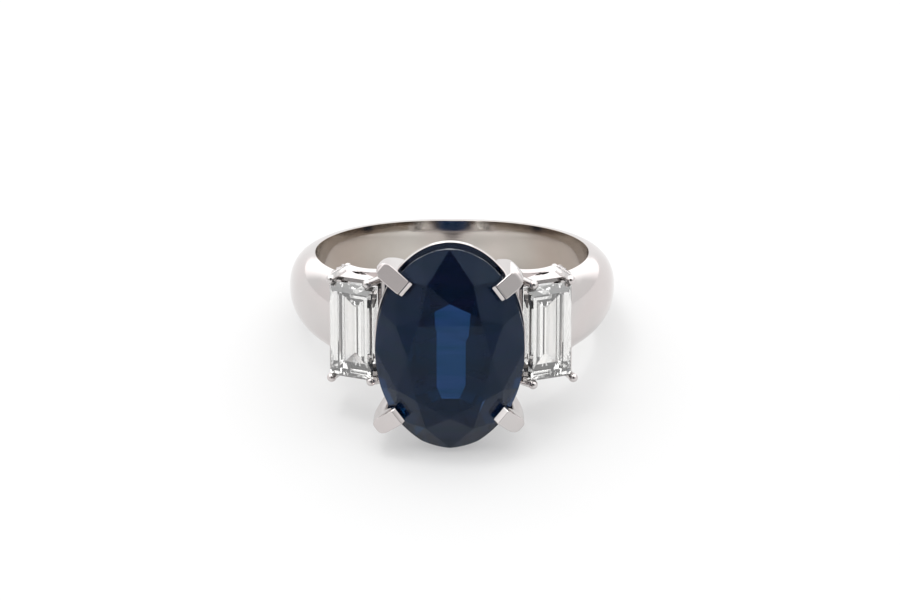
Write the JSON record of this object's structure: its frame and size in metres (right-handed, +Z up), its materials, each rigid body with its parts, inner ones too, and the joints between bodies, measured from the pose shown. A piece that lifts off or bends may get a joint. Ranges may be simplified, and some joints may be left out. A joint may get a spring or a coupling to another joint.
{
  "type": "platinum three stone ring",
  "caption": "Finger ring with a domed tapering shank, an oval faceted blue stone held by broad flat claws, and a step-cut clear stone on each side in an open bead-clawed setting.",
  "frame": {"origin": "middle of the ring's bounding box in plan, at the level of the surface that the ring lies on", "axes": "the ring lies on its side: -Y towards the stones, +X to the right when the stones face the viewer, +Z up; the finger hole's axis leans 14.49 degrees from +Z towards +Y"},
  "size_m": [0.0204, 0.0242, 0.0127],
  "materials": {
    "platinum": "polished platinum, lightly worn",
    "sapphire": "polished, deep blue",
    "diamond": "polished, colourless"
  },
  "bodies": {
    "root": {"mounting": "platinum", "sapphire": "sapphire", "diamond_left": "diamond", "diamond_right": "diamond"}
  },
  "joints": []
}
